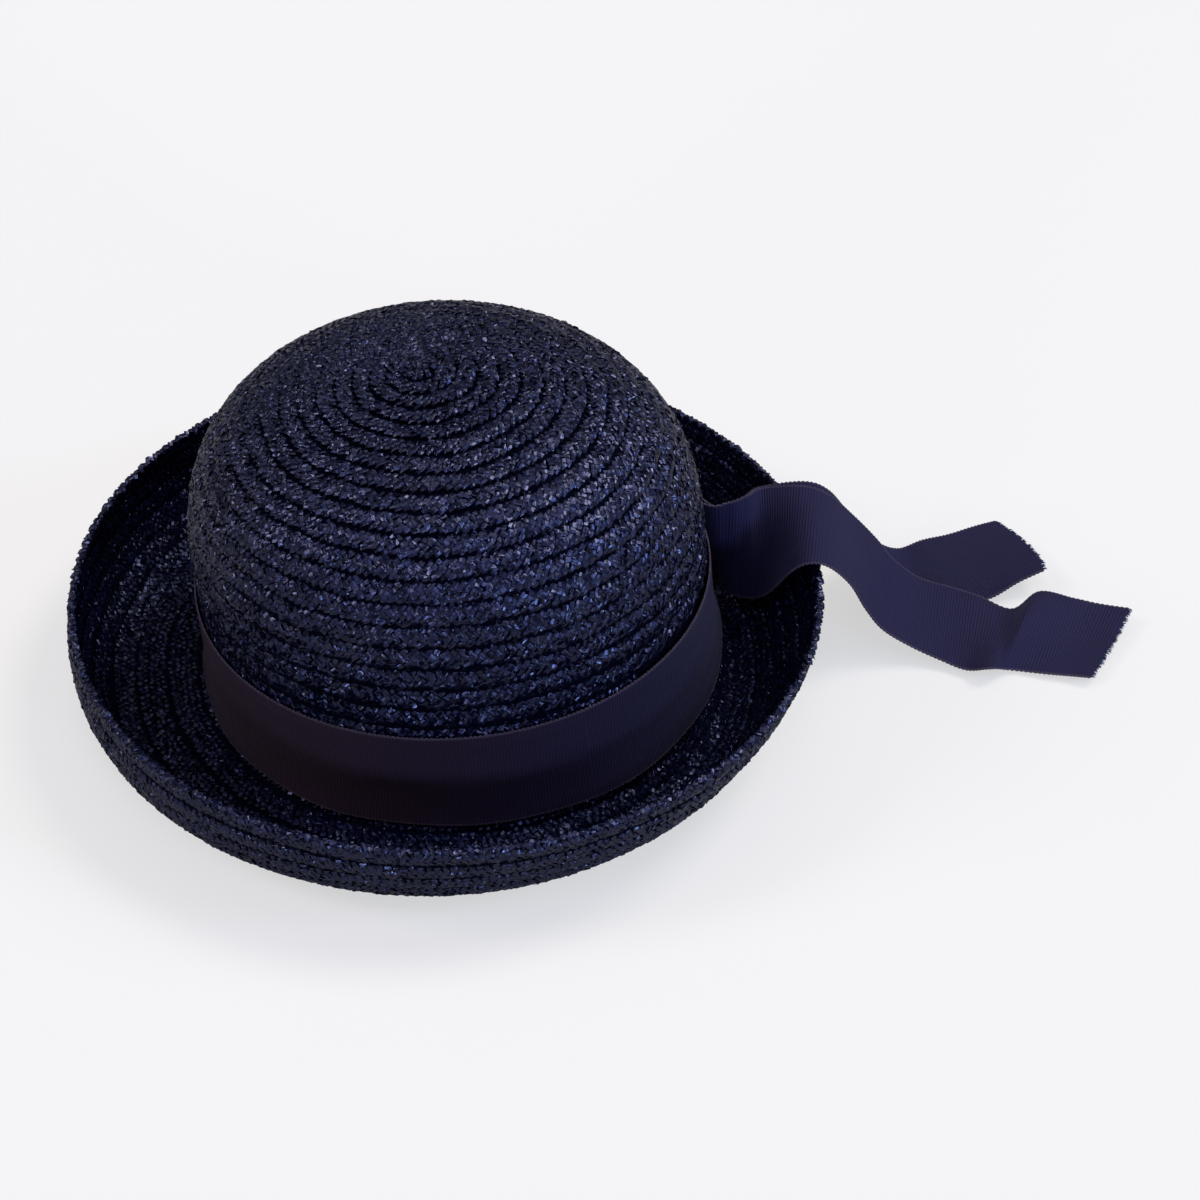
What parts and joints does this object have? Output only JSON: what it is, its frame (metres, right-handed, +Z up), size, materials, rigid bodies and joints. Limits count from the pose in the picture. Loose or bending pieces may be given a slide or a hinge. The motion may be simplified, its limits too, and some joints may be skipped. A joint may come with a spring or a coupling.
{
  "type": "roller hat",
  "caption": "Roller hat: a round crown and rolled-up brim of sewn straw braid, with a wide grosgrain ribbon band and two loose ribbon tails. Worn on the head; rests on its brim.",
  "frame": {"origin": "middle of the underside of the whole hat with its tails, on the plane that the brim rests on", "axes": "+Z up, -Y the front of the hat, +Y the back where the ribbon tails lie, +X to the right seen from the front"},
  "size_m": [0.2672, 0.3646, 0.1328],
  "materials": {
    "crown_straw": "shiny plaited straw braid",
    "brim_straw": "shiny plaited straw braid",
    "band_ribbon": "matt ribbed grosgrain",
    "tail_long_ribbon": "matt ribbed grosgrain",
    "tail_short_ribbon": "matt ribbed grosgrain"
  },
  "bodies": {
    "root": {"crown": "crown_straw", "brim": "brim_straw", "hat_band": "band_ribbon", "tail_long": "tail_long_ribbon", "tail_short": "tail_short_ribbon"}
  },
  "joints": []
}
